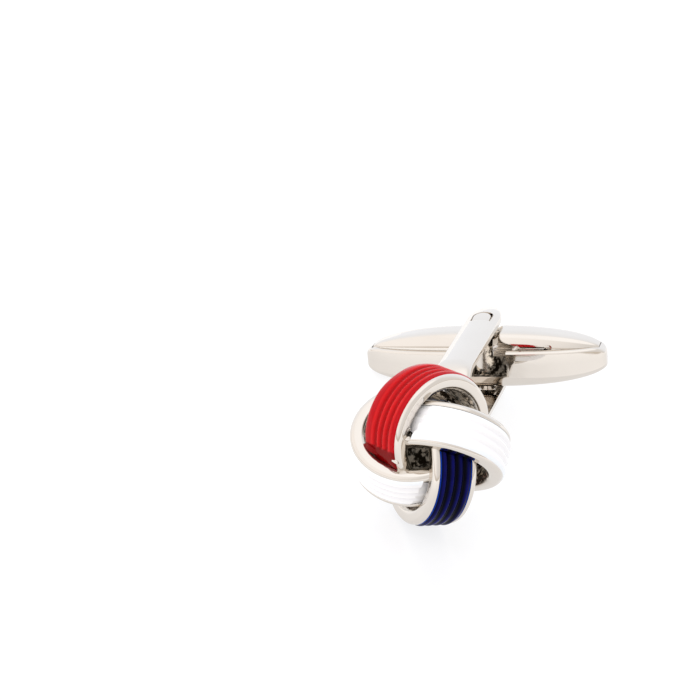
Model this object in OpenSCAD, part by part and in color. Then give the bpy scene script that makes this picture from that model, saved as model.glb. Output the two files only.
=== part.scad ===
// Knot cufflink: four interlaced enamelled bands soldered to a two armed fork, with a swivel toggle
// between the arms.
// It lies on its side as it does on a table, fork along +Y and knot toward -Y. Sizes in millimetres, +Z up.

/* [Knot bands] */
// outer radius of each of the four bands
band_r = 4.75; // [4:0.05:6]
// width of a band, edge to edge
band_w = 3.7; // [3:0.05:4.2]
// thickness of a band from its inside to its edge rails
band_t = 1.3; // [0.9:0.01:1.5]
// distance from the middle of the knot to the middle of each band
band_off = 1.33; // [0.8:0.01:2]
// tilt of each band's axis away from the knot's axis, degrees
band_tilt = 53; // [40:0.5:60]
// lean of each band's axis toward its own side, degrees
band_lean = -7; // [-12:0.5:4]
// width of each polished edge rail
rail_w = 0.52; // [0.4:0.01:0.9]
// depth of the enamel channel below the rails
channel_d = 0.36; // [0.2:0.01:0.5]
// clearance between the enamel and the metal
enamel_gap = 0.03; // [0.01:0.01:0.1]
// number of lengthwise ribs in the enamel
ribs = 4; // [3:1:6]
// how far the white enamel stops short of the band that crosses over it
end_gap = 0.3; // [0.05:0.05:0.6]
// depth of the grooves between the ribs
rib_d = 0.14; // [0.05:0.01:0.25]
// how far the ribs stand proud of the rails
rib_up = 0.12; // [0:0.01:0.15]
// how the knot sits on the fork, degrees about X, Y and Z
knot_turn = [-8.2, 2.1, 1.2]; // [-12:0.1:12]
// middle of the knot beside the line of the fork
knot_at = [-0.2, 0, 0.05]; // [-0.4:0.05:0.4]

/* [Fork] */
// distance from the middle of the knot to the toggle's pivot
pivot_y = 20.6; // [18:0.1:24]
// gap between the arms
arm_gap = 5.5; // [5:0.05:7]
// width of an arm
arm_w = 2.9; // [2.2:0.05:3.4]
// thickness of an arm at its edges
arm_edge = 0.35; // [0.3:0.05:0.8]
// thickness of an arm along its crown
arm_crown = 0.8; // [0.6:0.05:1.2]
// where the arms end, from the middle of the knot
arm_end = 23.85; // [21:0.05:26]
// length of the arms' rounded tips
arm_tip = 3.2; // [1.4:0.1:4]
// where the necks leave the seat, and where they reach the full gap
neck_y = [5.4, 9.8]; // [5:0.1:12]
// half the gap between the necks where they leave the seat
neck_half = 0.75; // [0.4:0.05:1.5]
// radius of the seat on the back of the knot
seat_r = 2.2; // [1.8:0.1:3.2]
// front and back of the seat along the fork
seat_y = [3.1, 5.7]; // [2.8:0.1:6.5]
// diameter of the pivot studs on the inside of the arms
stud_d = 1.3; // [1:0.05:1.6]
// reach of each stud from the inside of its arm
stud_len = 1.5; // [1:0.05:2]
// half width, start and length of the window over each stud
window = [0.88, 19.3, 2.2]; // [0.6:0.01:22]

/* [Toggle] */
// length of the toggle
toggle_len = 20.9; // [18:0.1:24]
// greatest width of the toggle
toggle_w = 4.6; // [4:0.05:5.4]
// height of the shell's rim above the fork's middle line
rim_z = 0.98; // [0.6:0.01:1.2]
// depth of the shell's underside below the middle line
keel_z = 2.45; // [1.6:0.05:2.6]
// depth of the underside at the two tips
end_z = 0.8; // [0.4:0.05:1.2]
// height of the cap's crown above the middle line
crown_z = 2.4; // [2:0.05:2.6]
// how full the toggle is seen from above, as two powers
plan_full = [2.7, 0.38]; // [0.3:0.01:4]
// how full the underside is along the toggle, as two powers
keel_full = [2.3, 0.6]; // [0.3:0.05:4]
// how full the cap's crown is along the toggle, as two powers
crown_full = [2.4, 0.6]; // [0.3:0.05:4]
// length and depth of the rim's rounding at each tip
tip_round = [1.3, 0.75]; // [0.2:0.05:2]
// wall of the shell
shell_t = 0.45; // [0.25:0.05:0.6]
// How far the rim's outer edge is rounded, inward and down [mm, mm]
rim_round = [0.4, 0.24]; // [0.1:0.01:0.6]
// dark gap between the shell's rim and the cap
cap_gap = 0.1; // [0.06:0.01:0.2]
// half the opening in the shell's knot side at the waist
waist = 2.2; // [1.6:0.05:2.6]
// half the gap between the two lobes of the cap
notch = 1.05; // [0.8:0.05:1.4]
// radius of the spring barrel round the pivot
barrel_r = 1.5; // [1.2:0.05:1.7]
// bottom and top of the spring barrel about the middle line
barrel_z = [-1.85, 2.1]; // [-2:0.05:2.2]
// running clearance between a stud and its bore, across
bore_play = 0.16; // [0.1:0.02:0.3]

/* [Pose] */
// toggle turned about its pivot from the locked cross position, degrees
toggle_turn = 0; // [-180:1:180]
// how the cufflink lies on a table, degrees about X and Y
lie = [-7.23, -13]; // [-90:0.01:90]
// shift that puts the lowest point on the table and the middle over the origin
shift = [-0.639, -9.46, 6.2]; // [-30:0.001:30]

/* [Hidden] */
steel = [0.82, 0.80, 0.77];

// shared helpers

// joins rings of points, all with the same count, into one closed solid
module loft(rings) {
    n = len(rings[0]);
    m = len(rings);
    pts = [for (r = rings) for (p = r) p];
    sides = [for (j = [0:m - 2]) for (i = [0:n - 1]) let (k = (i + 1) % n)
        each [[j * n + i, j * n + k, (j + 1) * n + k], [j * n + i, (j + 1) * n + k, (j + 1) * n + i]]];
    first = [for (i = [n - 1:-1:0]) i];
    last = [for (i = [0:n - 1]) (m - 1) * n + i];
    polyhedron(pts, concat([first], sides, [last]), convexity = 8);
}

// smooth step from 0 to 1 between a and b
function ease(x, a, b) = let (u = min(1, max(0, (x - a) / (b - a)))) u * u * (3 - 2 * u);

// fullness from 1 at the middle to 0 at the end of a half length
function full(x, half, p) = pow(max(0, 1 - pow(min(1, abs(x) / half), p[0])), p[1]);

// the whole cufflink as it lies
module lying() translate(shift) rotate([lie[0], lie[1], 0]) children();

// one of the four places of a band in the knot, counted from the top toward +X
module place_band(i)
    translate(knot_at) rotate(knot_turn) rotate([0, 90 * i, 0]) translate([0, 0, band_off])
        rotate([0, acos(sin(band_tilt) * sin(band_lean)),
                atan2(-cos(band_tilt), sin(band_tilt) * cos(band_lean))]) children();

// body: bands, seat, necks, arms and studs, one soldered solid

// points on an arc about c, with radii r, from angle a to angle b
function arc(c, r, a, b, n) =
    [for (k = [0:n]) let (t = a + (b - a) * k / n) [c[0] + r[0] * cos(t), c[1] + r[1] * sin(t)]];

// half section of a band from the middle of its inside to the middle of the channel floor
function band_half() = concat(
    arc([band_r - band_t + 0.5, band_w / 2 - 0.7], [0.5, 0.7], 180, 90, 2),
    arc([band_r - 0.42, band_w / 2 - 0.42], [0.42, 0.42], 90, 0, 2),
    [[band_r, band_w / 2 - rail_w], [band_r - channel_d, band_w / 2 - rail_w]]);

module band() {
    h = band_half();
    rotate_extrude($fn = 96)
        polygon(concat(h, [for (k = [len(h) - 1:-1:0]) [h[k][0], -h[k][1]]]));
}

// inside face of the upper arm at a place along the fork
function arm_z(y) = neck_half + (arm_gap / 2 - neck_half) * ease(y, neck_y[0], neck_y[1]);

// section of the upper arm: flat inside, crowned outside, rounded off toward its end
function arm_ring(y) =
    let (a = atan((arm_z(y + 0.05) - arm_z(y - 0.05)) / 0.1),
         e = max(0, (y - arm_end + arm_tip) / arm_tip),
         w = arm_w / 2 * sqrt(max(0.01, 1 - e * e)),
         c = (arm_crown - arm_edge) * sqrt(max(0.02, 1 - e * e)))
    concat([for (k = [0:10]) let (u = cos(18 * k), h = arm_edge + c * sin(18 * k))
                [w * u, y - h * sin(a), arm_z(y) + h * cos(a)]],
           [[-w, y, arm_z(y)], [w, y, arm_z(y)]]);

module upper_arm() {
    ys = concat([for (k = [0:12]) neck_y[0] - 1 + k * (neck_y[1] - neck_y[0] + 1.6) / 12],
                [13, 17], [for (k = [0:8]) arm_end - arm_tip * (1 - sin(90 * k / 8))]);
    difference() {
        loft([for (y = ys) arm_ring(y)]);
        // the window, straight toward the knot and round toward the end
        translate([-window[0], window[1], 1]) cube([2 * window[0], window[2] - window[0], 4]);
        translate([0, window[1] + window[2] - window[0], 1]) cylinder(r = window[0], h = 4, $fn = 48);
    }
    // the tongue bent inward in the window
    translate([0, window[1] - 0.1, arm_gap / 2 + 0.42]) rotate([-14, 0, 0])
        translate([-window[0] + 0.12, -0.35, -0.3]) cube([2 * window[0] - 0.24, 1.8, 0.45]);
    // the stud that the toggle turns on
    translate([0, pivot_y, arm_gap / 2 - stud_len]) cylinder(d = stud_d, h = stud_len + 0.3, $fn = 48);
}

// round seat that the bands and the necks are soldered to, with room to grow it
module seat(grow = 0)
    translate([0, seat_y[0] - grow, 0]) rotate([-90, 0, 0])
        cylinder(r = seat_r + grow, h = seat_y[1] - seat_y[0] + 2 * grow, $fn = 64);

module body() color(steel) lying() {
    for (i = [0:3]) place_band(i) band();
    seat();
    upper_arm();
    mirror([0, 0, 1]) upper_arm();
}

// enamel: ribbed inlay in each band's channel, cut clear of the bands that cross it

module enamel(i, short = 0.05) {
    floor_r = band_r - channel_d + enamel_gap;
    half = band_w / 2 - rail_w - enamel_gap;
    rib = 2 * half / ribs;
    top = [for (k = [0:ribs - 1]) for (s = [0:4]) if (s < 4 || k == ribs - 1)
        [band_r + rib_up - rib_d * pow(abs(s - 2) / 2, 2), -half + (k + s / 4) * rib]];
    difference() {
        place_band(i) rotate_extrude($fn = 96)
            polygon(concat([[floor_r, -half]], top, [[floor_r, half]]));
        for (side = [[i - 1, short], [i + 1, 0.05]]) let (g = side[1]) place_band(side[0]) difference() {
            translate([0, 0, -band_w / 2 - g]) cylinder(r = band_r + 0.05, h = band_w + 2 * g, $fn = 96);
            translate([0, 0, -band_w]) cylinder(r = band_r - band_t - 0.05, h = 2 * band_w, $fn = 96);
        }
        seat(0.05);
    }
}

module enamel_red() color([0.78, 0.03, 0.05]) lying() enamel(0);
module enamel_white_right() color([0.95, 0.94, 0.96]) lying() enamel(1, end_gap);
module enamel_blue() color([0.03, 0.04, 0.40]) lying() enamel(2);
module enamel_white_left() color([0.95, 0.94, 0.96]) lying() enamel(3, end_gap);

// toggle: shell, cap and spring barrel, turning together about the studs

module at_pivot() lying() translate([0, pivot_y, 0]) rotate([0, 0, toggle_turn]) children();

function half_w(x) = toggle_w / 2 * full(x, toggle_len / 2, plan_full);
function keel(x) = -end_z - (keel_z - end_z) * full(x, toggle_len / 2, keel_full);
function wall_foot(x) = keel(x) * (0.48 + 0.44 * abs(x) / toggle_len);
// the rim, rounded down at both tips
function rim(x) =
    let (e = min(1, max(0, (abs(x) - toggle_len / 2) / tip_round[0] + 1)))
    rim_z - tip_round[1] * (1 - sqrt(1 - e * e));

// stations along the toggle, closer together toward the tips
function stations(half, n) = [for (k = [0:n]) -half * cos(180 * k / n)];

function shell_ring(x) =
    let (b = max(0.12, half_w(x)), f = wall_foot(x), z = keel(x),
         r = [min(rim_round[0], 0.6 * b), rim_round[1]],
         side = concat([for (t = [90:-30:0]) [b - r[0] * (1 - cos(t)), rim(x) - r[1] * (1 - sin(t))]], [[b, f]],
                       [for (t = [0:18:90]) [0.45 * b + (0.55 * b - 0.06) * cos(t), f + (z - f) * sin(t)]]))
    concat([for (p = side) [x, p[0], p[1]]],
           [for (k = [len(side) - 1:-1:0]) [x, -side[k][0], side[k][1]]]);

function hollow_ring(x) =
    let (b = max(0.1, half_w(x) - shell_t), z = keel(x) + 0.5)
    [[x, b, rim_z + 1], [x, b, wall_foot(x) + 0.1], [x, b * 0.5, z],
     [x, -b * 0.5, z], [x, -b, wall_foot(x) + 0.1], [x, -b, rim_z + 1]];

module toggle_shell() color(steel) at_pivot() difference() {
    loft([for (x = stations(toggle_len / 2 - 0.02, 30)) shell_ring(x)]);
    loft([for (x = stations(toggle_len / 2 - shell_t - 0.1, 20)) hollow_ring(x)]);
    // opening in the knot side at the waist
    translate([-waist, -toggle_w, wall_foot(0)]) cube([2 * waist, toggle_w - 1.6, 4]);
    // clearance round the lower stud, and a well for the foot of the spring barrel
    translate([0, 0, -keel_z - 1]) cylinder(d = stud_d + 1.2, h = 2, $fn = 48);
    translate([0, 0, barrel_z[0] - 0.08]) cylinder(r = barrel_r + 0.08, h = 2, $fn = 64);
}

// one lobe of the cap from its inner end to its tip
function cap_ring(x) =
    let (b = max(0.1, half_w(x) - shell_t - cap_gap),
         top = rim_z - 0.3 + (crown_z - rim_z + 0.3) * full(x, toggle_len / 2 - 0.3, crown_full)
               * (0.86 + 0.14 * ease(x, notch, notch + 0.5)),
         low = rim_z - 0.5)
    concat([[x, -b, low]],
           [for (t = [180:-15:0]) let (c = cos(t))
               [x, b * c, rim_z - 0.2 + (top - rim_z + 0.2) * pow(1 - pow(abs(c), 4), 0.45)]],
           [[x, b, low]]);

module cap_lobe() {
    far = toggle_len / 2 - shell_t - cap_gap - 0.15;
    loft([for (x = concat([notch, notch + 0.12, notch + 0.3, notch + 0.5],
                          [for (k = [1:12]) notch + 0.5 + (far - notch - 0.5) * sin(90 * k / 12)])) cap_ring(x)]);
}

module toggle_cap() color(steel) at_pivot() {
    // the lobes' inner ends are hollowed round the spring barrel
    difference() {
        union() {
            cap_lobe();
            mirror([1, 0, 0]) cap_lobe();
        }
        cylinder(r = barrel_r + 0.08, h = 4, $fn = 64);
    }
    // bridge between the lobes on the side away from the knot
    translate([-notch - 0.2, 1.2, rim_z - 0.5])
        cube([2 * notch + 0.4, toggle_w / 2 - shell_t - cap_gap - 1.2, 0.5]);
}

module toggle_spring() color(steel) at_pivot() difference() {
    intersection() {
        translate([0, 0, barrel_z[0]]) cylinder(r = barrel_r, h = barrel_z[1] - barrel_z[0], $fn = 64);
        translate([-2, -3, -3]) cube([4, 4.05, 6]);
    }
    translate([0, 0, -3]) cylinder(d = stud_d + bore_play, h = 6, $fn = 48);
}

body();
enamel_red();
enamel_white_right();
enamel_blue();
enamel_white_left();
toggle_shell();
toggle_cap();
toggle_spring();
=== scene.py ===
from math import acos, atan2, cos, pi, radians, sin, sqrt

import bmesh
import bpy
from mathutils import Euler, Matrix, Vector


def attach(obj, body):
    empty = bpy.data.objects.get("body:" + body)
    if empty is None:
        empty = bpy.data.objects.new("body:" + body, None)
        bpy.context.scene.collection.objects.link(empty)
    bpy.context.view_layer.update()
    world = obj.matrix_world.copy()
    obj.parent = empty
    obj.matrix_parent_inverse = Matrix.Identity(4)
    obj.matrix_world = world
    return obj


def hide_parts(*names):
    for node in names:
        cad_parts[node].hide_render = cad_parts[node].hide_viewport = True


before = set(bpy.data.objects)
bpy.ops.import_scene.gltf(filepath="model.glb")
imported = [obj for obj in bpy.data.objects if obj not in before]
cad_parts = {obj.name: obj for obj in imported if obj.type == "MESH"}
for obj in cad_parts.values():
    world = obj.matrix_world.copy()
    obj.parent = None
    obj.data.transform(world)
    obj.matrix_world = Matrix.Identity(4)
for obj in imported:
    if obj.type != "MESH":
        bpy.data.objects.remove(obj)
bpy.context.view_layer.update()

# How it lies, and the camera.
# The cufflink is worked out standing straight, in millimetres, with the shank along Y and the
# toggle's pivot along Z. It lies tipped over on the table, as it does when it is put down.

LIE = Euler((radians(-7.23), radians(-13), 0))
LIE_AT = Vector((-0.639, -9.46, 6.2))
lying = Matrix.Scale(0.001, 4) @ Matrix.Translation(LIE_AT) @ LIE.to_matrix().to_4x4()

CAMERA_AT = Vector((40.386, -151.745, 63.169))
CAMERA_TURN = Euler([radians(a) for a in (70.7, 5.437, 15.019)])
PICTURE_W, FOCAL_LENGTH, SENSOR_W = 700, 2194.6, 36

camera = bpy.data.objects.new("camera", bpy.data.cameras.new("camera"))
camera.data.sensor_width = SENSOR_W
camera.data.lens = FOCAL_LENGTH / PICTURE_W * SENSOR_W
camera.data.clip_start = 0.01
camera.data.clip_end = 20
camera.matrix_world = (Matrix.Translation(lying @ CAMERA_AT)
                       @ (LIE.to_matrix() @ CAMERA_TURN.to_matrix()).to_4x4())
bpy.context.scene.collection.objects.link(camera)
bpy.context.scene.camera = camera
bpy.context.scene.view_settings.view_transform = "Standard"

# Table and light.
# A plain white acrylic table, lit from below as well as from a soft bright room, so it casts no
# shadow. Bright plating shows whatever is round it: cool white behind and brightest overhead.

TABLE_HALF, TABLE_GLOW = 3, 0.83
KEY_AT, KEY_SIZE, KEY_POWER = Vector((-0.30, -0.12, 0.42)), 0.16, 0.30
LEFT_WALL, RIGHT_WALL, BACK_WALL = (1.30, 1.27, 1.26), (0.97, 0.95, 0.94), (1.15, 1.20, 1.285)
WALL_FOOT, CEILING = (0.80, 0.73, 0.66), (1.38, 1.38, 1.40)


class Wire:
    """One output in a node tree. Sums on wires add Math nodes."""

    def __init__(self, tree, socket):
        self.tree, self.socket = tree, socket

    def __add__(self, other):
        return self.tree.math("ADD", self, other)

    def __sub__(self, other):
        return self.tree.math("SUBTRACT", self, other)

    def __rsub__(self, other):
        return self.tree.math("SUBTRACT", other, self)

    def __mul__(self, other):
        return self.tree.math("MULTIPLY", self, other)

    def __truediv__(self, other):
        return self.tree.math("DIVIDE", self, other)

    __radd__, __rmul__ = __add__, __mul__

    def between(self, low, high):
        """0 below low, 1 above high and smooth on the way."""
        return self.tree.node("ShaderNodeMapRange", {"interpolation_type": "SMOOTHSTEP"},
                              {"Value": self, "From Min": low, "From Max": high})


class Tree:
    """A node tree, with one method that adds any node."""

    def __init__(self, nodes):
        self.nodes = nodes

    def node(self, kind, settings={}, sockets={}, out=0):
        made = self.nodes.nodes.new(kind)
        for name, value in settings.items():
            setattr(made, name, value)
        for name, value in sockets.items():
            if isinstance(value, Wire):
                self.nodes.links.new(value.socket, made.inputs[name])
            else:
                made.inputs[name].default_value = value
        return Wire(self, made.outputs[out])

    def math(self, operation, *values):
        return self.node("ShaderNodeMath", {"operation": operation}, dict(enumerate(values)))

    def mix(self, factor, first, second):
        """One colour where the factor is 0 and the other where it is 1, each a tuple or a wire."""
        first, second = [value if isinstance(value, Wire) else (*value, 1) for value in (first, second)]
        return self.node("ShaderNodeMix", {"data_type": "RGBA"}, {"Factor": factor, 6: first, 7: second}, 2)

    def noise(self, place, scale, detail, **more):
        return self.node("ShaderNodeTexNoise", {}, {
            "Vector": place, "Scale": scale, "Detail": detail, **more})

    def attribute(self, name):
        return self.node("ShaderNodeAttribute", {"attribute_name": name}, {}, "Fac")


class Finish(Tree):
    """A new material. What is the same all over is set on its shader, and what varies is fed to it."""

    def __init__(self, name, **constants):
        self.material = bpy.data.materials.new(name)
        self.material.use_nodes = True
        super().__init__(self.material.node_tree)
        self.shader = self.nodes.nodes["Principled BSDF"]
        for socket, value in constants.items():
            self.shader.inputs[socket.replace("_", " ")].default_value = value
        self.spot = self.node("ShaderNodeTexCoord", {}, {}, "Object")

    def feed(self, socket, wire):
        self.nodes.links.new(wire.socket, self.shader.inputs[socket])

    def bump(self, strength, height):
        self.feed("Normal", self.node("ShaderNodeBump", {}, {
            "Strength": strength, "Distance": 0.0001, "Height": height}))

    def cover(self, obj):
        obj.data.materials.clear()
        obj.data.materials.append(self.material)


def show(obj):
    bpy.context.scene.collection.objects.link(obj)
    return obj


acrylic = Finish("table_white", Roughness=0.35, IOR=1.45, Emission_Strength=TABLE_GLOW)
grain = acrylic.noise(acrylic.spot, scale=900, detail=4)
acrylic.feed("Base Color", acrylic.mix(grain, (0.14, 0.14, 0.15), (0.16, 0.16, 0.16)))
acrylic.feed("Emission Color", acrylic.mix(grain, (0.99, 0.99, 1.0), (1.0, 1.0, 1.0)))

mesh = bpy.data.meshes.new("table")
mesh.from_pydata([(x * TABLE_HALF, y * TABLE_HALF, 0) for x, y in ((-1, -1), (1, -1), (1, 1), (-1, 1))],
                 [], [(0, 1, 2, 3)])
table = show(bpy.data.objects.new("table", mesh))
acrylic.cover(table)

light = bpy.data.lights.new("key_box", "AREA")
light.shape, light.size, light.size_y = "RECTANGLE", KEY_SIZE, KEY_SIZE
light.energy = KEY_POWER
key_box = show(bpy.data.objects.new("key_box", light))
key_box.location = KEY_AT
key_box.rotation_euler = (-KEY_AT).to_track_quat("-Z", "Y").to_euler()
key_box.visible_glossy = False

world = bpy.data.worlds.new("studio")
world.use_nodes = True
bpy.context.scene.world = world
room = Tree(world.node_tree)
way = room.node("ShaderNodeTexCoord", {}, {}, "Generated")
side, away, height = [room.node("ShaderNodeSeparateXYZ", {}, {"Vector": way}, part) for part in "XYZ"]
walls = room.mix(side.between(-0.45, 0.45), LEFT_WALL, RIGHT_WALL)
walls = room.mix(height.between(0.02, 0.16), WALL_FOOT, walls)
walls = room.mix(away.between(0.15, 0.85), walls, BACK_WALL)
walls = room.mix(height.between(0.82, 0.95), walls, CEILING)
world.node_tree.links.new(walls.socket, world.node_tree.nodes["Background"].inputs["Color"])

# Knot bands.
# The knot's four links are strips of brass bent into rings, each with a raised polished rail
# along both edges and a channel between them. They are woven, soldered and bright plated.

BAND_R, BAND_W, BAND_T, BAND_OFF = 4.75, 3.7, 1.3, 1.33
BAND_TILT, BAND_LEAN = radians(53), radians(-7)
RAIL_W, RAIL_ROUND, LIP_ROUND, BACK_ROUND = 0.52, 0.42, 0.07, (0.5, 0.7)
CHANNEL_D = 0.36
KNOT_TURN = Euler([radians(a) for a in (-8.2, 2.1, 1.2)])
KNOT_AT = Vector((-0.2, 0, 0.05))
TIP = acos(sin(BAND_TILT) * sin(BAND_LEAN))
HEADING = atan2(-cos(BAND_TILT), sin(BAND_TILT) * cos(BAND_LEAN))
# The polished plating's two tones, then the dark and tan of the blotches in hollows: dull patina, darkened
# further as painted shade.
POLISHED = (0.68, 0.63, 0.575), (0.73, 0.685, 0.63)
PATINA_AND_SHADE = (0.022, 0.016, 0.010), (0.68, 0.60, 0.50)
# The blotches' tone where nothing is marked, and the strength of their painted glow, which lifts the marked
# hollows.
BLOTCH_TONE, PAINTED_GLOW = 0.4, 0.13
# The roughness of clean polish, and what scuffs, haze and missing polish add to it.
CLEAN, SCUFFED, HAZY, DULL = 0.035, 0.05, 0.02, 0.22
# Where a band's patina and painted shade begin: shares of its half width, and of its thickness from the
# outside.
RAIL_EDGE, CHANNEL_SIDE, INSIDE_FACE = (0.66, 0.74), (0.1, 0.2), (0.72, 0.95)


def plating(name, shade_and_patina):
    """Bright nickel plating, faintly scuffed. Where the mark passed in is 1 the plating is dull and
    blotched with dark patina, darkened further as painted shade."""
    coat = Finish(name, Metallic=1.0, IOR=1.6, Emission_Strength=1.0)
    haze = coat.noise(coat.spot, scale=260, detail=3)
    drawn = coat.node("ShaderNodeMapping", {}, {"Vector": coat.spot, "Scale": (1, 3.5, 1)})
    scuff = coat.noise(drawn, scale=1500, detail=4).between(0.45, 0.75)
    blotch = (0.5 * coat.noise(coat.spot, scale=3200, detail=4, Roughness=0.65)
              + 0.5 * coat.noise(coat.spot, scale=1100, detail=2))
    shade_and_patina_share = shade_and_patina(coat)
    tone = BLOTCH_TONE + (blotch.between(0.46, 0.57) - BLOTCH_TONE) * shade_and_patina_share
    dark = coat.mix(tone, *PATINA_AND_SHADE)
    # Where the mark is 1 the base colour is the dark patina with painted shade.
    coat.feed("Base Color", coat.mix(shade_and_patina_share, coat.mix(haze, *POLISHED), dark))
    # A faint painted glow of the blotch colour lightens the marked hollows, though the metal gives no light.
    coat.feed("Emission Color", coat.mix(PAINTED_GLOW * shade_and_patina_share, (0, 0, 0), dark))
    coat.feed("Roughness", CLEAN + SCUFFED * scuff + HAZY * haze + DULL * shade_and_patina_share)
    coat.bump(strength=0.05, height=coat.noise(coat.spot, scale=420, detail=1) + 1.5 * blotch * shade_and_patina_share)
    return coat


def band_patina_and_shade(coat):
    """Dark patina, deepened as painted shade: the channel's floor and the inside face of a band."""
    depth = coat.attribute("depth")
    aside = coat.math("ABSOLUTE", coat.attribute("across"))
    channel = (1 - aside.between(*RAIL_EDGE)) * depth.between(*CHANNEL_SIDE)
    return coat.math("MAXIMUM", channel, depth.between(*INSIDE_FACE))


def rule(name, inputs):
    """A node rule for shapes, with named inputs, as a tree and its input wires by name."""
    group = bpy.data.node_groups.new(name, "GeometryNodeTree")
    group.interface.new_socket("Geometry", in_out="INPUT", socket_type="NodeSocketGeometry")
    for label, (kind, value) in inputs.items():
        socket = group.interface.new_socket(label, in_out="INPUT", socket_type="NodeSocket" + kind)
        if value is not None:
            socket.default_value = value
    group.interface.new_socket("Geometry", in_out="OUTPUT", socket_type="NodeSocketGeometry")
    tree = Tree(group)
    entry = group.nodes.new("NodeGroupInput")
    return tree, {socket.name: Wire(tree, socket) for socket in entry.outputs if socket.name}


def plain(name, holder):
    """What an object's modifiers make of it, as a plain mesh. The object itself goes."""
    graph = bpy.context.evaluated_depsgraph_get()
    mesh = bpy.data.meshes.new_from_object(holder.evaluated_get(graph), preserve_all_data_layers=True,
                                           depsgraph=graph)
    bpy.data.objects.remove(holder)
    mesh.name = name
    return mesh


def follow(name, start, tree, **values):
    """The mesh that a rule makes of a starting shape, with some of its inputs set."""
    holder = show(bpy.data.objects.new(name + "_start", start))
    modifier = holder.modifiers.new("rule", "NODES")
    modifier.node_group = tree.nodes
    for item in tree.nodes.interface.items_tree:
        key = item.name.replace(" ", "_")
        if item.in_out == "INPUT" and key in values:
            modifier[item.identifier] = values[key]
    return plain(name, holder)


def outline(name, points):
    """A flat closed line through the points, used as the section that a rule sweeps."""
    curve = bpy.data.curves.new(name, "CURVE")
    curve.dimensions = "3D"
    line = curve.splines.new("POLY")
    line.points.add(len(points) - 1)
    for point, (x, y) in zip(line.points, points):
        point.co = (x, y, 0, 1)
    line.use_cyclic_u = True
    return curve


def arc(centre, radii, start, end, steps):
    """Points along an arc, from one angle in degrees to another."""
    turns = [radians(start + (end - start) * k / steps) for k in range(steps + 1)]
    return [(centre[0] + radii[0] * cos(t), centre[1] + radii[1] * sin(t)) for t in turns]


def outward(mesh):
    """Doubles merged and faces turned outwards."""
    work = bmesh.new()
    work.from_mesh(mesh)
    bmesh.ops.remove_doubles(work, verts=work.verts, dist=1e-4)
    bmesh.ops.recalc_face_normals(work, faces=work.faces)
    work.to_mesh(mesh)
    work.free()
    return mesh


def piece(name, mesh, body, nodes, coat=None):
    """A finished mesh, laid on the table, that rides on its body and stands for its CAD nodes."""
    mesh.transform(lying)
    made = show(bpy.data.objects.new(name, mesh))
    if coat:
        coat.cover(made)
    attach(made, body)
    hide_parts(*nodes)


# The rule turns a section into a ring and sets copies of the ring round the knot's middle.
weave, put = rule("woven rings", {
    "Radius": ("Float", BAND_R), "Steps": ("Int", 256), "Offset": ("Float", BAND_OFF),
    "Tip": ("Float", TIP), "Heading": ("Float", HEADING),
    "First Place": ("Int", 0), "Places": ("Int", 4),
    "Knot Turn": ("Vector", tuple(KNOT_TURN)), "Knot Middle": ("Vector", tuple(KNOT_AT)),
    "Half Width": ("Float", BAND_W / 2), "Thickness": ("Float", BAND_T), "Finish": ("Material", None)})
edge = weave.node("GeometryNodeInputPosition")
across = weave.node("ShaderNodeSeparateXYZ", {}, {"Vector": edge}, "Y") / put["Half Width"]
depth = weave.node("ShaderNodeSeparateXYZ", {}, {"Vector": edge}, "X") * -1 / put["Thickness"]
section = put["Geometry"]
for label, value in (("across", across), ("depth", depth)):
    section = weave.node("GeometryNodeStoreNamedAttribute", {"data_type": "FLOAT", "domain": "POINT"},
                         {"Geometry": section, "Name": label, "Value": value})
ring = weave.node("GeometryNodeCurvePrimitiveCircle", {}, {
    "Resolution": put["Steps"], "Radius": put["Radius"]})
ring = weave.node("GeometryNodeSetCurveNormal", {"mode": "Z_UP"}, {"Curve": ring})
swept = weave.node("GeometryNodeCurveToMesh", {}, {"Curve": ring, "Profile Curve": section})
swept = weave.node("GeometryNodeTransform", {}, {
    "Geometry": swept,
    "Translation": weave.node("ShaderNodeCombineXYZ", {}, {"Z": put["Offset"]}),
    "Rotation": weave.node("ShaderNodeCombineXYZ", {}, {"Y": put["Tip"], "Z": put["Heading"]})})
places = weave.node("GeometryNodePoints", {}, {"Count": put["Places"]})
quarter = (weave.node("GeometryNodeInputIndex") + put["First Place"]) * (pi / 2)
rings = weave.node("GeometryNodeInstanceOnPoints", {}, {
    "Points": places, "Instance": swept, "Rotation": weave.node("ShaderNodeCombineXYZ", {}, {"Y": quarter})})
rings = weave.node("GeometryNodeRealizeInstances", {}, {"Geometry": rings})
rings = weave.node("GeometryNodeTransform", {}, {
    "Geometry": rings, "Translation": put["Knot Middle"], "Rotation": put["Knot Turn"]})
rings = weave.node("GeometryNodeSetShadeSmooth", {}, {"Geometry": rings})
rings = weave.node("GeometryNodeSetMaterial", {}, {"Geometry": rings, "Material": put["Finish"]})
weave.nodes.links.new(rings.socket, weave.nodes.nodes.new("NodeGroupOutput").inputs["Geometry"])

half = BAND_W / 2
upper = arc((-BAND_T + BACK_ROUND[0], half - BACK_ROUND[1]), BACK_ROUND, 180, 90, 12)
upper += arc((-RAIL_ROUND, half - RAIL_ROUND), (RAIL_ROUND, RAIL_ROUND), 90, 0, 12)
upper += arc((-LIP_ROUND, half - RAIL_W + LIP_ROUND), (LIP_ROUND, LIP_ROUND), 0, -90, 4)
upper += [(-CHANNEL_D, half - RAIL_W)]
rail_section = outline("rail_section", upper + [(x, -y) for x, y in reversed(upper)])
band_plate = plating("bright_plating_bands", band_patina_and_shade)
bands = follow("knot_bands", rail_section, weave, Finish=band_plate.material)
piece("knot_bands", outward(bands), "fork", ["body"])

# Enamel inlays.
# Glossy glass enamel fills each band's channel, drawn into lengthwise ribs. It stops just short
# of the band that crosses over it. The red and the white have run a little over a rail.

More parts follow.
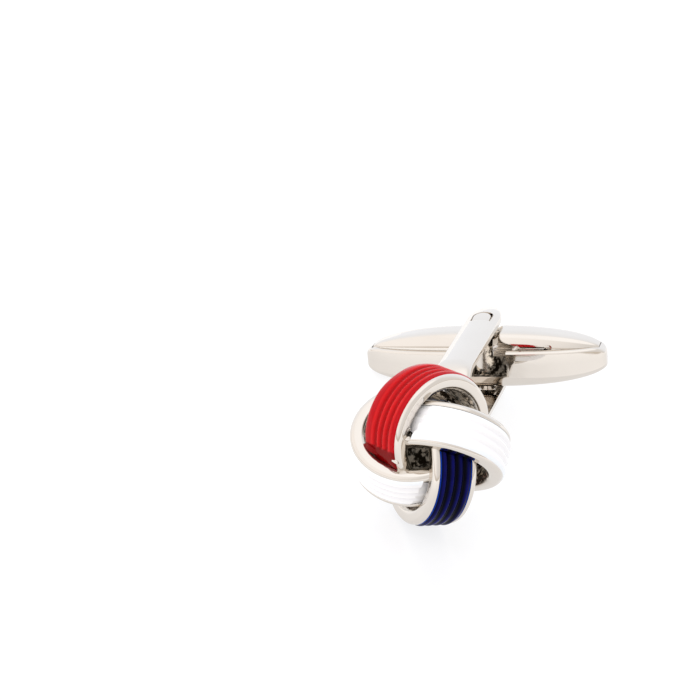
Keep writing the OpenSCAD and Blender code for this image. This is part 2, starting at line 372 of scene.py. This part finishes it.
RIBS, RIB_STEPS, RIB_D, RIB_UP, ENAMEL_GAP = 4, 12, 0.14, 0.12, 0.03
CLEAR, END_ROOM, END_DEEP = 0.05, 0.40, 0.12
SEAT_R, SEAT_Y = 2.2, (3.1, 5.7)
# Degrees round the red band: where its pool begins and ends, and where its bead draws in.
POOL_FROM, POOL_TO, BEAD_THIN = (276.5, 279), (300, 301), (200, 235)
POOL_UP, POOL_SWING, POOL_WAVES, BEAD_IN, BEAD_DOWN, BEAD_TOP = 0.11, 0.8, 9, 0.10, 0.06, 1.8
SHARP = radians(38)


def enamel(name, gloss, groove_shade, body, crest_highlight, rim, pool=(0, 0, 0)):
    """Enamel with painted shade in the grooves between the ribs, painted highlights on the crests, and
    painted edge light and shade along the rails. Where its attribute "pooled" is 1 it has run together."""
    coat = Finish(name, Specular_IOR_Level=gloss)
    over = coat.attribute("across") * (BAND_W / (BAND_W - 2 * RAIL_W))
    rib = coat.math("PINGPONG", over * (RIBS / 2), 0.5) * 2
    drift = coat.noise(coat.spot, scale=350, detail=3)
    highlight_mask = rib.between(0.3, 1.0) * (0.35 + 0.65 * drift.between(0.35, 0.7))
    # Painted shade darkens the grooves and painted highlights lighten the crests, unevenly.
    colour = coat.mix(rib.between(0.0, 0.75), groove_shade, body)
    colour = coat.mix(highlight_mask, colour, crest_highlight)
    # By the rails the colour is a painted edge highlight on the blue and painted edge shade on the red and
    # white.
    colour = coat.mix(coat.math("ABSOLUTE", over).between(0.90, 0.97), colour, rim)
    coat.feed("Base Color", coat.mix(coat.attribute("pooled"), colour, pool))
    coat.feed("Roughness", 0.12 + 0.06 * drift)
    coat.bump(strength=0.12, height=coat.noise(coat.spot, scale=700, detail=2))
    return coat


def ease(x, a, b):
    """0 below a, 1 above b and smooth on the way."""
    u = min(1, max(0, (x - a) / (b - a)))
    return u * u * (3 - 2 * u)


def remade(name, mesh, cuts=(), edge=0, steps=4):
    """A closed mesh with others cut away from it and its sharp edges rounded."""
    holder = show(bpy.data.objects.new(name, outward(mesh)))
    tools = [show(bpy.data.objects.new("tool", outward(cut))) for cut in cuts]
    for tool in tools:
        cutting = holder.modifiers.new("cut", "BOOLEAN")
        cutting.object, cutting.operation, cutting.solver = tool, "DIFFERENCE", "EXACT"
    if edge:
        rounding = holder.modifiers.new("edge", "BEVEL")
        rounding.width, rounding.segments = edge, steps
        rounding.limit_method, rounding.angle_limit = "ANGLE", SHARP
    result = plain(name, holder)
    for tool in tools:
        bpy.data.objects.remove(tool)
    return result


def turned(profile, steps, axis="Z"):
    """A closed solid turned from (radius, height) points that begin and end on the axis."""
    work = bmesh.new()
    rows = []
    for r, h in profile:
        if r < 1e-6:
            rows.append([work.verts.new((0, 0, h))] * steps)
        else:
            rows.append([work.verts.new((r * cos(2 * pi * k / steps), r * sin(2 * pi * k / steps), h))
                         for k in range(steps)])
    for low, high in zip(rows, rows[1:]):
        for k in range(steps):
            face = []
            for v in (low[k], low[(k + 1) % steps], high[(k + 1) % steps], high[k]):
                if v not in face:
                    face.append(v)
            if len(face) > 2:
                work.faces.new(face)
    if axis == "Y":
        bmesh.ops.rotate(work, verts=work.verts, matrix=Matrix.Rotation(-pi / 2, 3, "X"))
    mesh = bpy.data.meshes.new("turned")
    work.to_mesh(mesh)
    work.free()
    return mesh


def drum(radius, low, high, steps=64, axis="Z"):
    """A closed round bar between two heights."""
    return turned([(0, low), (radius, low), (radius, high), (0, high)], steps, axis)


def smooth(mesh, angle=35):
    """Shaded smooth but for edges sharper than the angle."""
    mesh.polygons.foreach_set("use_smooth", [True] * len(mesh.polygons))
    mesh.set_sharp_from_angle(angle=radians(angle))
    return mesh


def clear_section(room, deep):
    """The section of a crossing band with room to spare, which cuts an inlay's end."""
    wide, low = BAND_W / 2 + room, -BAND_T - CLEAR - deep
    return outline("clear_section", [(low, wide), (CLEAR, wide), (CLEAR, -wide), (low, -wide)])


def band_frame(place):
    """The middle of one of the four bands, with its axis along Z."""
    around = Matrix.Rotation(place * pi / 2, 4, "Y") @ Matrix.Translation((0, 0, BAND_OFF))
    return (Matrix.Translation(KNOT_AT) @ KNOT_TURN.to_matrix().to_4x4() @ around
            @ Euler((0, TIP, HEADING)).to_matrix().to_4x4())


def settle(mesh, place, slot):
    """Lets the foot of the red inlay run together and its bead draw in at the top. Stores where
    each point is across the band, and where the enamel is pooled."""
    own = band_frame(place)
    back = own.inverted()
    marks = {"across": [], "pooled": []}
    for v in mesh.vertices:
        x, y, z = back @ v.co
        r, turn = sqrt(x * x + y * y), atan2(y, x)
        angle = (turn * 180 / pi) % 360
        pooled = 0
        if slot == "enamel_red":
            wavy = POOL_FROM[1] + POOL_SWING * sin(POOL_WAVES * z)
            pooled = ease(angle, POOL_FROM[0], wavy) * (1 - ease(angle, *POOL_TO))
            if abs(z) > inner and angle < BEAD_THIN[1]:
                thin = 1 - ease(angle, *BEAD_THIN)
                z += BEAD_IN * thin * ease(-z, inner, BEAD_TOP)
                r -= BEAD_DOWN * thin
            above_floor = r > BAND_R + bottom + 0.1
            if above_floor and abs(z) < inner:
                r += (BAND_R + POOL_UP - r) * pooled
        marks["across"].append(z / (BAND_W / 2))
        marks["pooled"].append(pooled)
        v.co = own @ Vector((r * cos(turn), r * sin(turn), z))
    for name, values in marks.items():
        kept = mesh.attributes.get(name) or mesh.attributes.new(name, "FLOAT", "POINT")
        kept.data.foreach_set("value", values)
    return mesh


# Each enamel: painted groove shade, its own colour, painted crest highlight, painted edge light or shade by
# the rails, and its pooled colour.
red = enamel("red_enamel", gloss=0.10, groove_shade=(0.33, 0.001, 0.002), body=(0.51, 0.003, 0.006),
             crest_highlight=(0.64, 0.014, 0.016), rim=(0.46, 0.003, 0.008), pool=(0.20, 0.0005, 0.0015))
white = enamel("white_enamel", gloss=0.3, groove_shade=(0.93, 0.92, 0.94), body=(0.95, 0.94, 0.95),
               crest_highlight=(0.97, 0.96, 0.96), rim=(0.90, 0.93, 0.96))
blue = enamel("blue_enamel", gloss=0.04, groove_shade=(0.0002, 0.0002, 0.003), body=(0.0007, 0.0007, 0.012),
              crest_highlight=(0.005, 0.006, 0.14), rim=(0.004, 0.05, 0.42))

inner = BAND_W / 2 - RAIL_W - ENAMEL_GAP
bottom = -CHANNEL_D + ENAMEL_GAP
rib_w = 2 * inner / RIBS
crowns = []
for k in range(RIBS * RIB_STEPS + 1):
    t = k / RIB_STEPS % 1 * 2 - 1
    crowns.append((RIB_UP - RIB_D * (0.5 - 0.5 * cos(pi * t)), inner - k / RIB_STEPS * rib_w))
half_rib = RIB_STEPS // 2
# Where enamel has run over a rail it ends in a bead. The full bead goes round the whole rail,
# and the small one lies on its inner half.
full_bead = [(bottom, 1.0), (-0.60, 1.70), (-0.62, 1.86), (-0.50, 1.94), (-0.28, 1.98), (-0.08, 1.95),
             (0.04, 1.86), (0.10, 1.70), (0.12, 1.45), (0.13, 1.20)]
small_bead = [(0.115, -1.20), (0.09, -1.38), (0.045, -1.49), (-0.02, -1.54), (-0.1, -1.54), (bottom, -1.28)]
sections = {
    "enamel_red": full_bead + crowns[half_rib:-half_rib] + small_bead,
    "enamel_white": [(bottom, inner)] + crowns[:-half_rib] + small_bead,
    "enamel_blue": [(bottom, inner)] + crowns + [(bottom, -inner)]}
seat_room = drum(SEAT_R + CLEAR, SEAT_Y[0] - CLEAR, SEAT_Y[1] + CLEAR, axis="Y")
for place, (name, coat, slot) in enumerate([
        ("enamel_red", red, "enamel_red"), ("enamel_white_right", white, "enamel_white"),
        ("enamel_blue", blue, "enamel_blue"), ("enamel_white_left", white, "enamel_white")]):
    inlay = follow(name, outline(name + "_section", sections[slot]), weave, First_Place=place, Places=1,
                   Steps=512, Finish=coat.material)
    near = (END_ROOM, END_DEEP) if slot == "enamel_white" else (CLEAR, 0)
    crossing = [follow("crossing", clear_section(*room), weave, First_Place=place + side, Places=1)
                for side, room in ((-1, near), (1, (CLEAR, 0)))]
    inlay = settle(remade(name, inlay, [*crossing, seat_room]), place, slot)
    piece(name, smooth(inlay, angle=50), "fork", [name], coat)

# Solder beads.
# Small beads of bright solder stand where the bands were joined: two in the gap beside the right
# white inlay, and one at the foot of the red one, where red enamel has also run into the corner.

BEADS = [  # Place, half sizes, and the way that the long one points.
    ((-0.80, -3.42, 2.78), (0.20, 0.16, 0.15), (1, 0, 0.3)),
    ((-0.72, -3.98, 2.22), (0.26, 0.20, 0.20), (1, 0, -0.2)),
    ((-1.75, -4.42, 0.58), (0.34, 0.17, 0.16), (0.8, -0.3, -0.3))]
RED_DROP = ((-3.82, -3.0, 0.98), (0.80, 0.30, 0.26), (0.816, -0.443, -0.373))


def lump(at, size, along, seed):
    """An uneven drop at a place, with its long axis along a direction."""
    work = bmesh.new()
    bmesh.ops.create_icosphere(work, subdivisions=4, radius=1)
    for v in work.verts:
        uneven = 1 + 0.12 * sin(3 * v.co.x + seed) * cos(4 * v.co.y) + 0.08 * sin(5 * v.co.z + 2 * seed)
        v.co = Vector([a * b * uneven for a, b in zip(v.co, size)])
    bmesh.ops.rotate(work, verts=work.verts, matrix=Vector(along).to_track_quat("X", "Z").to_matrix())
    bmesh.ops.translate(work, verts=work.verts, vec=at)
    drop = bpy.data.meshes.new("drop")
    work.to_mesh(drop)
    work.free()
    return smooth(drop)


plate = plating("bright_plating", lambda coat: coat.attribute("shade_and_patina"))
for number, bead in enumerate(BEADS):
    piece("solder_bead_%d" % (number + 1), lump(*bead, number), "fork", ["body"], plate)

drop = lump(*RED_DROP, 5)
drop.attributes.new("pooled", "FLOAT", "POINT").data.foreach_set("value", [1.0] * len(drop.vertices))
piece("enamel_red_drop", drop, "fork", ["enamel_red"], red)

# Seat and fork.
# A round seat soldered on the back of the knot carries the fork: two necks that spread into
# flat arms with crowned outsides. Near each round end a window is pierced, its tongue bent in.

PIVOT_Y = 20.6
ARM_GAP, ARM_W, ARM_EDGE, ARM_CROWN = 5.5, 2.9, 0.35, 0.8
ARM_END, ARM_TIP, ARM_STEP, ROUND_STEPS = 23.85, 3.2, 0.2, 24
NECK_Y, NECK_HALF = (5.4, 9.8), 0.75
WINDOW_HALF, WINDOW_FOOT, WINDOW_LEN = 0.88, 19.3, 2.2
TONGUE_X, TONGUE_HALF, TONGUE_ROOT, TONGUE_LEN, TONGUE_ROUND = -0.095, 0.775, -0.3, 1.26, 0.86
TONGUE_BEND, TONGUE_T, TONGUE_UP = radians(7), 0.42, 0.50
STUD_D, STUD_LEN, STUD_ROOT, STUD_EDGE = 1.3, 1.5, 0.3, 0.1
SEAT_ROUND = 0.3
# How dark the painted shade on the lower arm's inner face is, and where along the arm it fades out.
ARM_SHADE, SHADE_TO = 0.7, (15, 17)


def mark(mesh, shade_rule):
    """Stores at each point how much dull patina and painted shade it gets, from its place and the way it
    faces.
    """
    values = mesh.attributes.new("shade_and_patina", "FLOAT", "POINT")
    values.data.foreach_set("value", [shade_rule(v.co, v.normal) for v in mesh.vertices])
    return mesh


def loft(name, rings):
    """A closed solid through rings of points with the same count."""
    n = len(rings[0])
    faces = [tuple(range(n - 1, -1, -1)), tuple((len(rings) - 1) * n + k for k in range(n))]
    faces += [(j * n + k, j * n + (k + 1) % n, (j + 1) * n + (k + 1) % n, (j + 1) * n + k)
              for j in range(len(rings) - 1) for k in range(n)]
    mesh = bpy.data.meshes.new(name)
    mesh.from_pydata([p for ring in rings for p in ring], [], faces)
    return mesh


def joined(name, *meshes):
    """Several meshes as one."""
    work = bmesh.new()
    for mesh in meshes:
        work.from_mesh(mesh)
    result = bpy.data.meshes.new(name)
    work.to_mesh(result)
    work.free()
    return result


def mirrored(mesh, axis):
    """A mirrored copy, with its faces still turned outwards."""
    other = mesh.copy()
    other.transform(Matrix.Scale(-1, 4, axis))
    other.flip_normals()
    return other


def arm_z(y):
    """How far an arm's flat inner face is from the middle."""
    return NECK_HALF + (ARM_GAP / 2 - NECK_HALF) * ease(y, *NECK_Y)


def arm_ring(y, w):
    """An arm's outline at y, w to each side of the middle: flat inside and crowned outside."""
    slope = atan2(arm_z(y + 0.05) - arm_z(y - 0.05), 0.1)
    rise = (ARM_CROWN - ARM_EDGE) * sqrt(max(0.02, (2 * w / ARM_W) ** 2))
    top = []
    for k in range(ROUND_STEPS + 1):
        turn = pi * k / ROUND_STEPS
        h = ARM_EDGE + rise * sin(turn)
        top.append((w * cos(turn), y - h * sin(slope), arm_z(y) + h * cos(slope)))
    return top + [(x, y, arm_z(y)) for x in (-w, -w / 3, w / 3, w)]


def fork_painted_shade(at, facing):
    """Painted shade, in the dark blotched colour, on all that is inside the knot, and on the lower arm's
    inner face as far as the toggle.
    """
    if at.y < NECK_Y[0] - 0.2:
        return 1.0
    return ARM_SHADE * (1 - ease(at.y, *SHADE_TO)) if at.z < 0 and facing.z > 0.7 else 0.0


rings = [arm_ring(NECK_Y[0] - 1 + ARM_STEP * k, ARM_W / 2)
         for k in range(int((ARM_END - ARM_TIP - NECK_Y[0] + 1) / ARM_STEP))]
for k in range(ROUND_STEPS + 1):
    quarter = pi / 2 * k / ROUND_STEPS
    rings.append(arm_ring(ARM_END - ARM_TIP * (1 - sin(quarter)), max(0.05, ARM_W / 2 * cos(quarter))))
window = [(-WINDOW_HALF, WINDOW_FOOT), (WINDOW_HALF, WINDOW_FOOT)]
window += arc((0, WINDOW_FOOT + WINDOW_LEN - WINDOW_HALF), (WINDOW_HALF, WINDOW_HALF), 0, 180, 32)
window = loft("window", [[(x, y, z) for x, y in window] for z in (1, ARM_GAP)])
arm = remade("arm", loft("arm", rings), [window], edge=0.1)
flap = [(TONGUE_X - TONGUE_HALF, TONGUE_ROOT), (TONGUE_X + TONGUE_HALF, TONGUE_ROOT)]
flap += arc((TONGUE_X, TONGUE_LEN), (TONGUE_HALF, TONGUE_ROUND), 0, 180, 24)
tongue = loft("tongue", [[(x, y, z) for x, y in flap] for z in (-TONGUE_T, 0)])
tongue.transform(Matrix.Translation((0, WINDOW_FOOT, ARM_GAP / 2 + TONGUE_UP))
                 @ Matrix.Rotation(TONGUE_BEND, 4, "X"))
tongue = remade("tongue", tongue, edge=0.07)
stud = turned([(0, -STUD_LEN), (STUD_D / 2 - STUD_EDGE, -STUD_LEN), (STUD_D / 2, -STUD_LEN + STUD_EDGE),
               (STUD_D / 2, STUD_ROOT), (0, STUD_ROOT)], 48)
stud.transform(Matrix.Translation((0, PIVOT_Y, ARM_GAP / 2)))
upper_arm = joined("upper_arm", arm, tongue, stud)
seat = outward(turned(
    [(0, SEAT_Y[0]), (SEAT_R, SEAT_Y[0]), (SEAT_R, SEAT_Y[1] - SEAT_ROUND)]
    + arc((SEAT_R - SEAT_ROUND, SEAT_Y[1] - SEAT_ROUND), (SEAT_ROUND, SEAT_ROUND), 15, 75, 4)
    + [(SEAT_R - SEAT_ROUND, SEAT_Y[1]), (0, SEAT_Y[1])], 96, axis="Y"))
for name, mesh in (("seat", seat), ("upper_arm", upper_arm), ("lower_arm", mirrored(upper_arm, (0, 0, 1)))):
    piece(name, smooth(mark(mesh, fork_painted_shade)), "fork", ["body"], plate)

# Toggle shell.
# The lower part of the swivel bar is a boat shaped shell with a thick rim, pressed from brass
# and plated. It is open at the waist on the side of the knot, where the spring shows.

TOGGLE_LEN, TOGGLE_W, RIM_Z, KEEL_Z, END_Z, CROWN_Z = 20.9, 4.6, 0.98, 2.45, 0.8, 2.4
PLAN_FULL, KEEL_FULL, CROWN_FULL, TIP_ROUND = (2.7, 0.38), (2.3, 0.6), (2.4, 0.6), (1.3, 0.75)
SHELL_T, SHELL_FLOOR, RIM_ROUND, CHINE, BOTTOM_FLAT = 0.45, 0.5, (0.4, 0.24), 24, 0.45
WALL_SHARE, WALL_MORE = 0.48, 0.44
WAIST, WAIST_WALL = 2.2, -1.6
BARREL_R, BARREL_Z, BARREL_ROOM, STUD_ROOM = 1.5, (-1.85, 2.1), 0.08, 0.6
# The least half width at a tip, and a height that is past every wall.
LEAST, PAST = 0.1, 4


def full(x, half, powers):
    """A rounded outline along the bar: 1 in the middle and 0 at its ends."""
    return max(0, 1 - min(1, abs(x) / half) ** powers[0]) ** powers[1]


def half_w(x):
    return TOGGLE_W / 2 * full(x, TOGGLE_LEN / 2, PLAN_FULL)


def keel(x):
    return -END_Z - (KEEL_Z - END_Z) * full(x, TOGGLE_LEN / 2, KEEL_FULL)


def wall_foot(x):
    """Where the upright wall ends and the bottom begins to turn in."""
    return keel(x) * (WALL_SHARE + WALL_MORE * abs(x) / TOGGLE_LEN)


def rim(x):
    e = min(1, max(0, (abs(x) - TOGGLE_LEN / 2) / TIP_ROUND[0] + 1))
    return RIM_Z - TIP_ROUND[1] * (1 - sqrt(1 - e * e))


def shell_ring(x):
    b, f, z = max(LEAST + 0.02, half_w(x)), wall_foot(x), keel(x)
    wide = min(RIM_ROUND[0], 0.6 * b)
    chine = radians(CHINE)
    side = arc((b - wide, rim(x) - RIM_ROUND[1]), (wide, RIM_ROUND[1]), 90, 0, 8)
    side += [(b, rim(x) * 0.5 + f * 0.5), (b, f + 0.04)]
    side += [(BOTTOM_FLAT * b + (1 - BOTTOM_FLAT) * b * cos(radians(t)) / cos(chine),
              f + (z - f) * (sin(radians(t)) - sin(chine)) / (1 - sin(chine))) for t in range(CHINE, 91, 6)]
    return [(x, y, h) for y, h in side] + [(x, -y, h) for y, h in reversed(side)]


def hollow_ring(x):
    b = max(LEAST, half_w(x) - SHELL_T)
    side = [(b, RIM_Z + 1), (b, wall_foot(x) + 0.1), (b * 0.5, keel(x) + SHELL_FLOOR)]
    return [(x, y, h) for y, h in side] + [(x, -y, h) for y, h in reversed(side)]


def stations(half, n):
    """Places along the bar, closest together at its tips."""
    return [-half * cos(pi * k / n) for k in range(n + 1)]


def block(low, high):
    """A closed box between two corners."""
    xs, ys, zs = zip(low, high)
    mesh = bpy.data.meshes.new("block")
    mesh.from_pydata([(x, y, z) for x in xs for y in ys for z in zs], [], [
        (0, 1, 3, 2), (4, 6, 7, 5), (0, 4, 5, 1), (2, 3, 7, 6), (0, 2, 6, 4), (1, 5, 7, 3)])
    return mesh


def shell_painted_shade(at, facing):
    """Painted shade, in the dark blotched colour, on the inside of the walls and the shell's floor."""
    wall = facing.y * at.y < -0.3 * abs(at.y) and abs(at.y) < half_w(at.x) - 0.2
    return 1.0 if wall or facing.z > 0.7 and at.z < 0 else 0.0


hollow = loft("hollow", [hollow_ring(x) for x in stations(TOGGLE_LEN / 2 - SHELL_T - 0.1, 60)])
shell = loft("shell", [shell_ring(x) for x in stations(TOGGLE_LEN / 2 - 0.02, 120)])
shell = remade("toggle_shell", shell, [
    hollow, block((-WAIST, -TOGGLE_W, wall_foot(0)), (WAIST, WAIST_WALL, PAST)),
    drum(STUD_D / 2 + STUD_ROOM, -PAST, -KEEL_Z + 1),
    drum(BARREL_R + BARREL_ROOM, BARREL_Z[0] - BARREL_ROOM, 2)], edge=0.09)
to_pivot = Matrix.Translation((0, PIVOT_Y, 0))
mark(shell, shell_painted_shade).transform(to_pivot)
piece("toggle_shell", smooth(shell), "toggle", ["toggle_shell"], plate)

# Toggle cap.
# Two domed lobes close the top of the bar. Between them is a notch for the arm and the pivot,
# and a short bridge joins them on the side away from the knot.

NOTCH, NOTCH_ROUND, NOTCH_LOW = 1.05, 0.5, 0.86
CAP_FOOT, CAP_SPRING, CAP_GAP, CAP_END_GAP, BRIDGE_GAP, BRIDGE_Y = 0.5, 0.2, 0.03, 0.13, 0.1, 1.2
CROWN_LOW, CROWN_SHORT, DOME_FLAT, DOME_ROUND = 0.3, 0.3, 4, 0.45
# The left lobe stands back from the tip, and the right one from part of the front rim.
STAND_BACK, BACK_AT_TIP, BACK_FROM, BACK_TO = 0.12, (9.0, 9.8), (2.9, 3.2), (5.6, 5.9)


def cap_ring(x):
    b = max(LEAST, half_w(x) - SHELL_T - CAP_GAP)
    dome = full(x, TOGGLE_LEN / 2 - CROWN_SHORT, CROWN_FULL)
    dome *= NOTCH_LOW + (1 - NOTCH_LOW) * ease(x, NOTCH, NOTCH + NOTCH_ROUND)
    low = RIM_Z - CROWN_LOW
    top = low + (CROWN_Z - low) * dome
    foot = RIM_Z - CAP_SPRING
    ring = []
    for t in range(180, -1, -4):
        c = cos(radians(t))
        ring.append((x, b * c, foot + (top - foot) * (1 - abs(c) ** DOME_FLAT) ** DOME_ROUND))
    return [(x, -b, RIM_Z - CAP_FOOT)] + ring + [(x, b, RIM_Z - CAP_FOOT)]


def cap_painted_shade(at, facing):
    """Painted shade, in the dark blotched colour, on the two faces of the notch."""
    return 1.0 if abs(at.x) < NOTCH + 0.55 and facing.x * at.x < -0.5 * abs(at.x) else 0.0


far = TOGGLE_LEN / 2 - SHELL_T - CAP_END_GAP
near = NOTCH + NOTCH_ROUND
along = [NOTCH + NOTCH_ROUND * k / 10 for k in range(11)]
along += [near + (far - near) * sin(pi / 2 * k / 60) for k in range(1, 61)]
lobe = loft("lobe", [cap_ring(x) for x in along])
lobe = remade("lobe", lobe, [drum(BARREL_R + BARREL_ROOM, 0, PAST, 96)], edge=0.08)
other = mirrored(lobe, (1, 0, 0))
for v in other.vertices:
    v.co.x += STAND_BACK * ease(-v.co.x, *BACK_AT_TIP)
for v in lobe.vertices:
    if v.co.y < 0 and v.co.z < RIM_Z + 0.25:
        v.co.y += STAND_BACK * (ease(v.co.x, *BACK_FROM) - ease(v.co.x, *BACK_TO))
bridge = block((-NOTCH - 0.2, BRIDGE_Y, RIM_Z - CAP_FOOT),
               (NOTCH + 0.2, TOGGLE_W / 2 - SHELL_T - BRIDGE_GAP, RIM_Z))
bridge = remade("bridge", bridge, edge=0.06, steps=3)
cap = mark(joined("toggle_cap", lobe, other, bridge), cap_painted_shade)
cap.transform(to_pivot)
piece("toggle_cap", smooth(cap), "toggle", ["toggle_cap"], plate)

# Spring barrel.
# A bright barrel round the pivot holds the spring that keeps the bar crosswise. It is flat on
# the side of the bridge, and a bore takes the studs of the two arms.

BORE_PLAY, BARREL_FLAT = 0.08, 1.05


def barrel_painted_shade(at, facing):
    """Painted shade, in the dark blotched colour, on the right side, which lies deep in the bar."""
    return ease(at.x, -0.4, 0.6)


bore = drum(STUD_D / 2 + BORE_PLAY, -PAST, PAST)
beyond_flat = block((-PAST, BARREL_FLAT, -PAST), (PAST, PAST, PAST))
barrel = remade("toggle_spring", drum(BARREL_R, *BARREL_Z, 96), [bore, beyond_flat], edge=0.08)
mark(barrel, barrel_painted_shade).transform(to_pivot)
piece("toggle_spring", smooth(barrel), "toggle", ["toggle_spring"], plate)
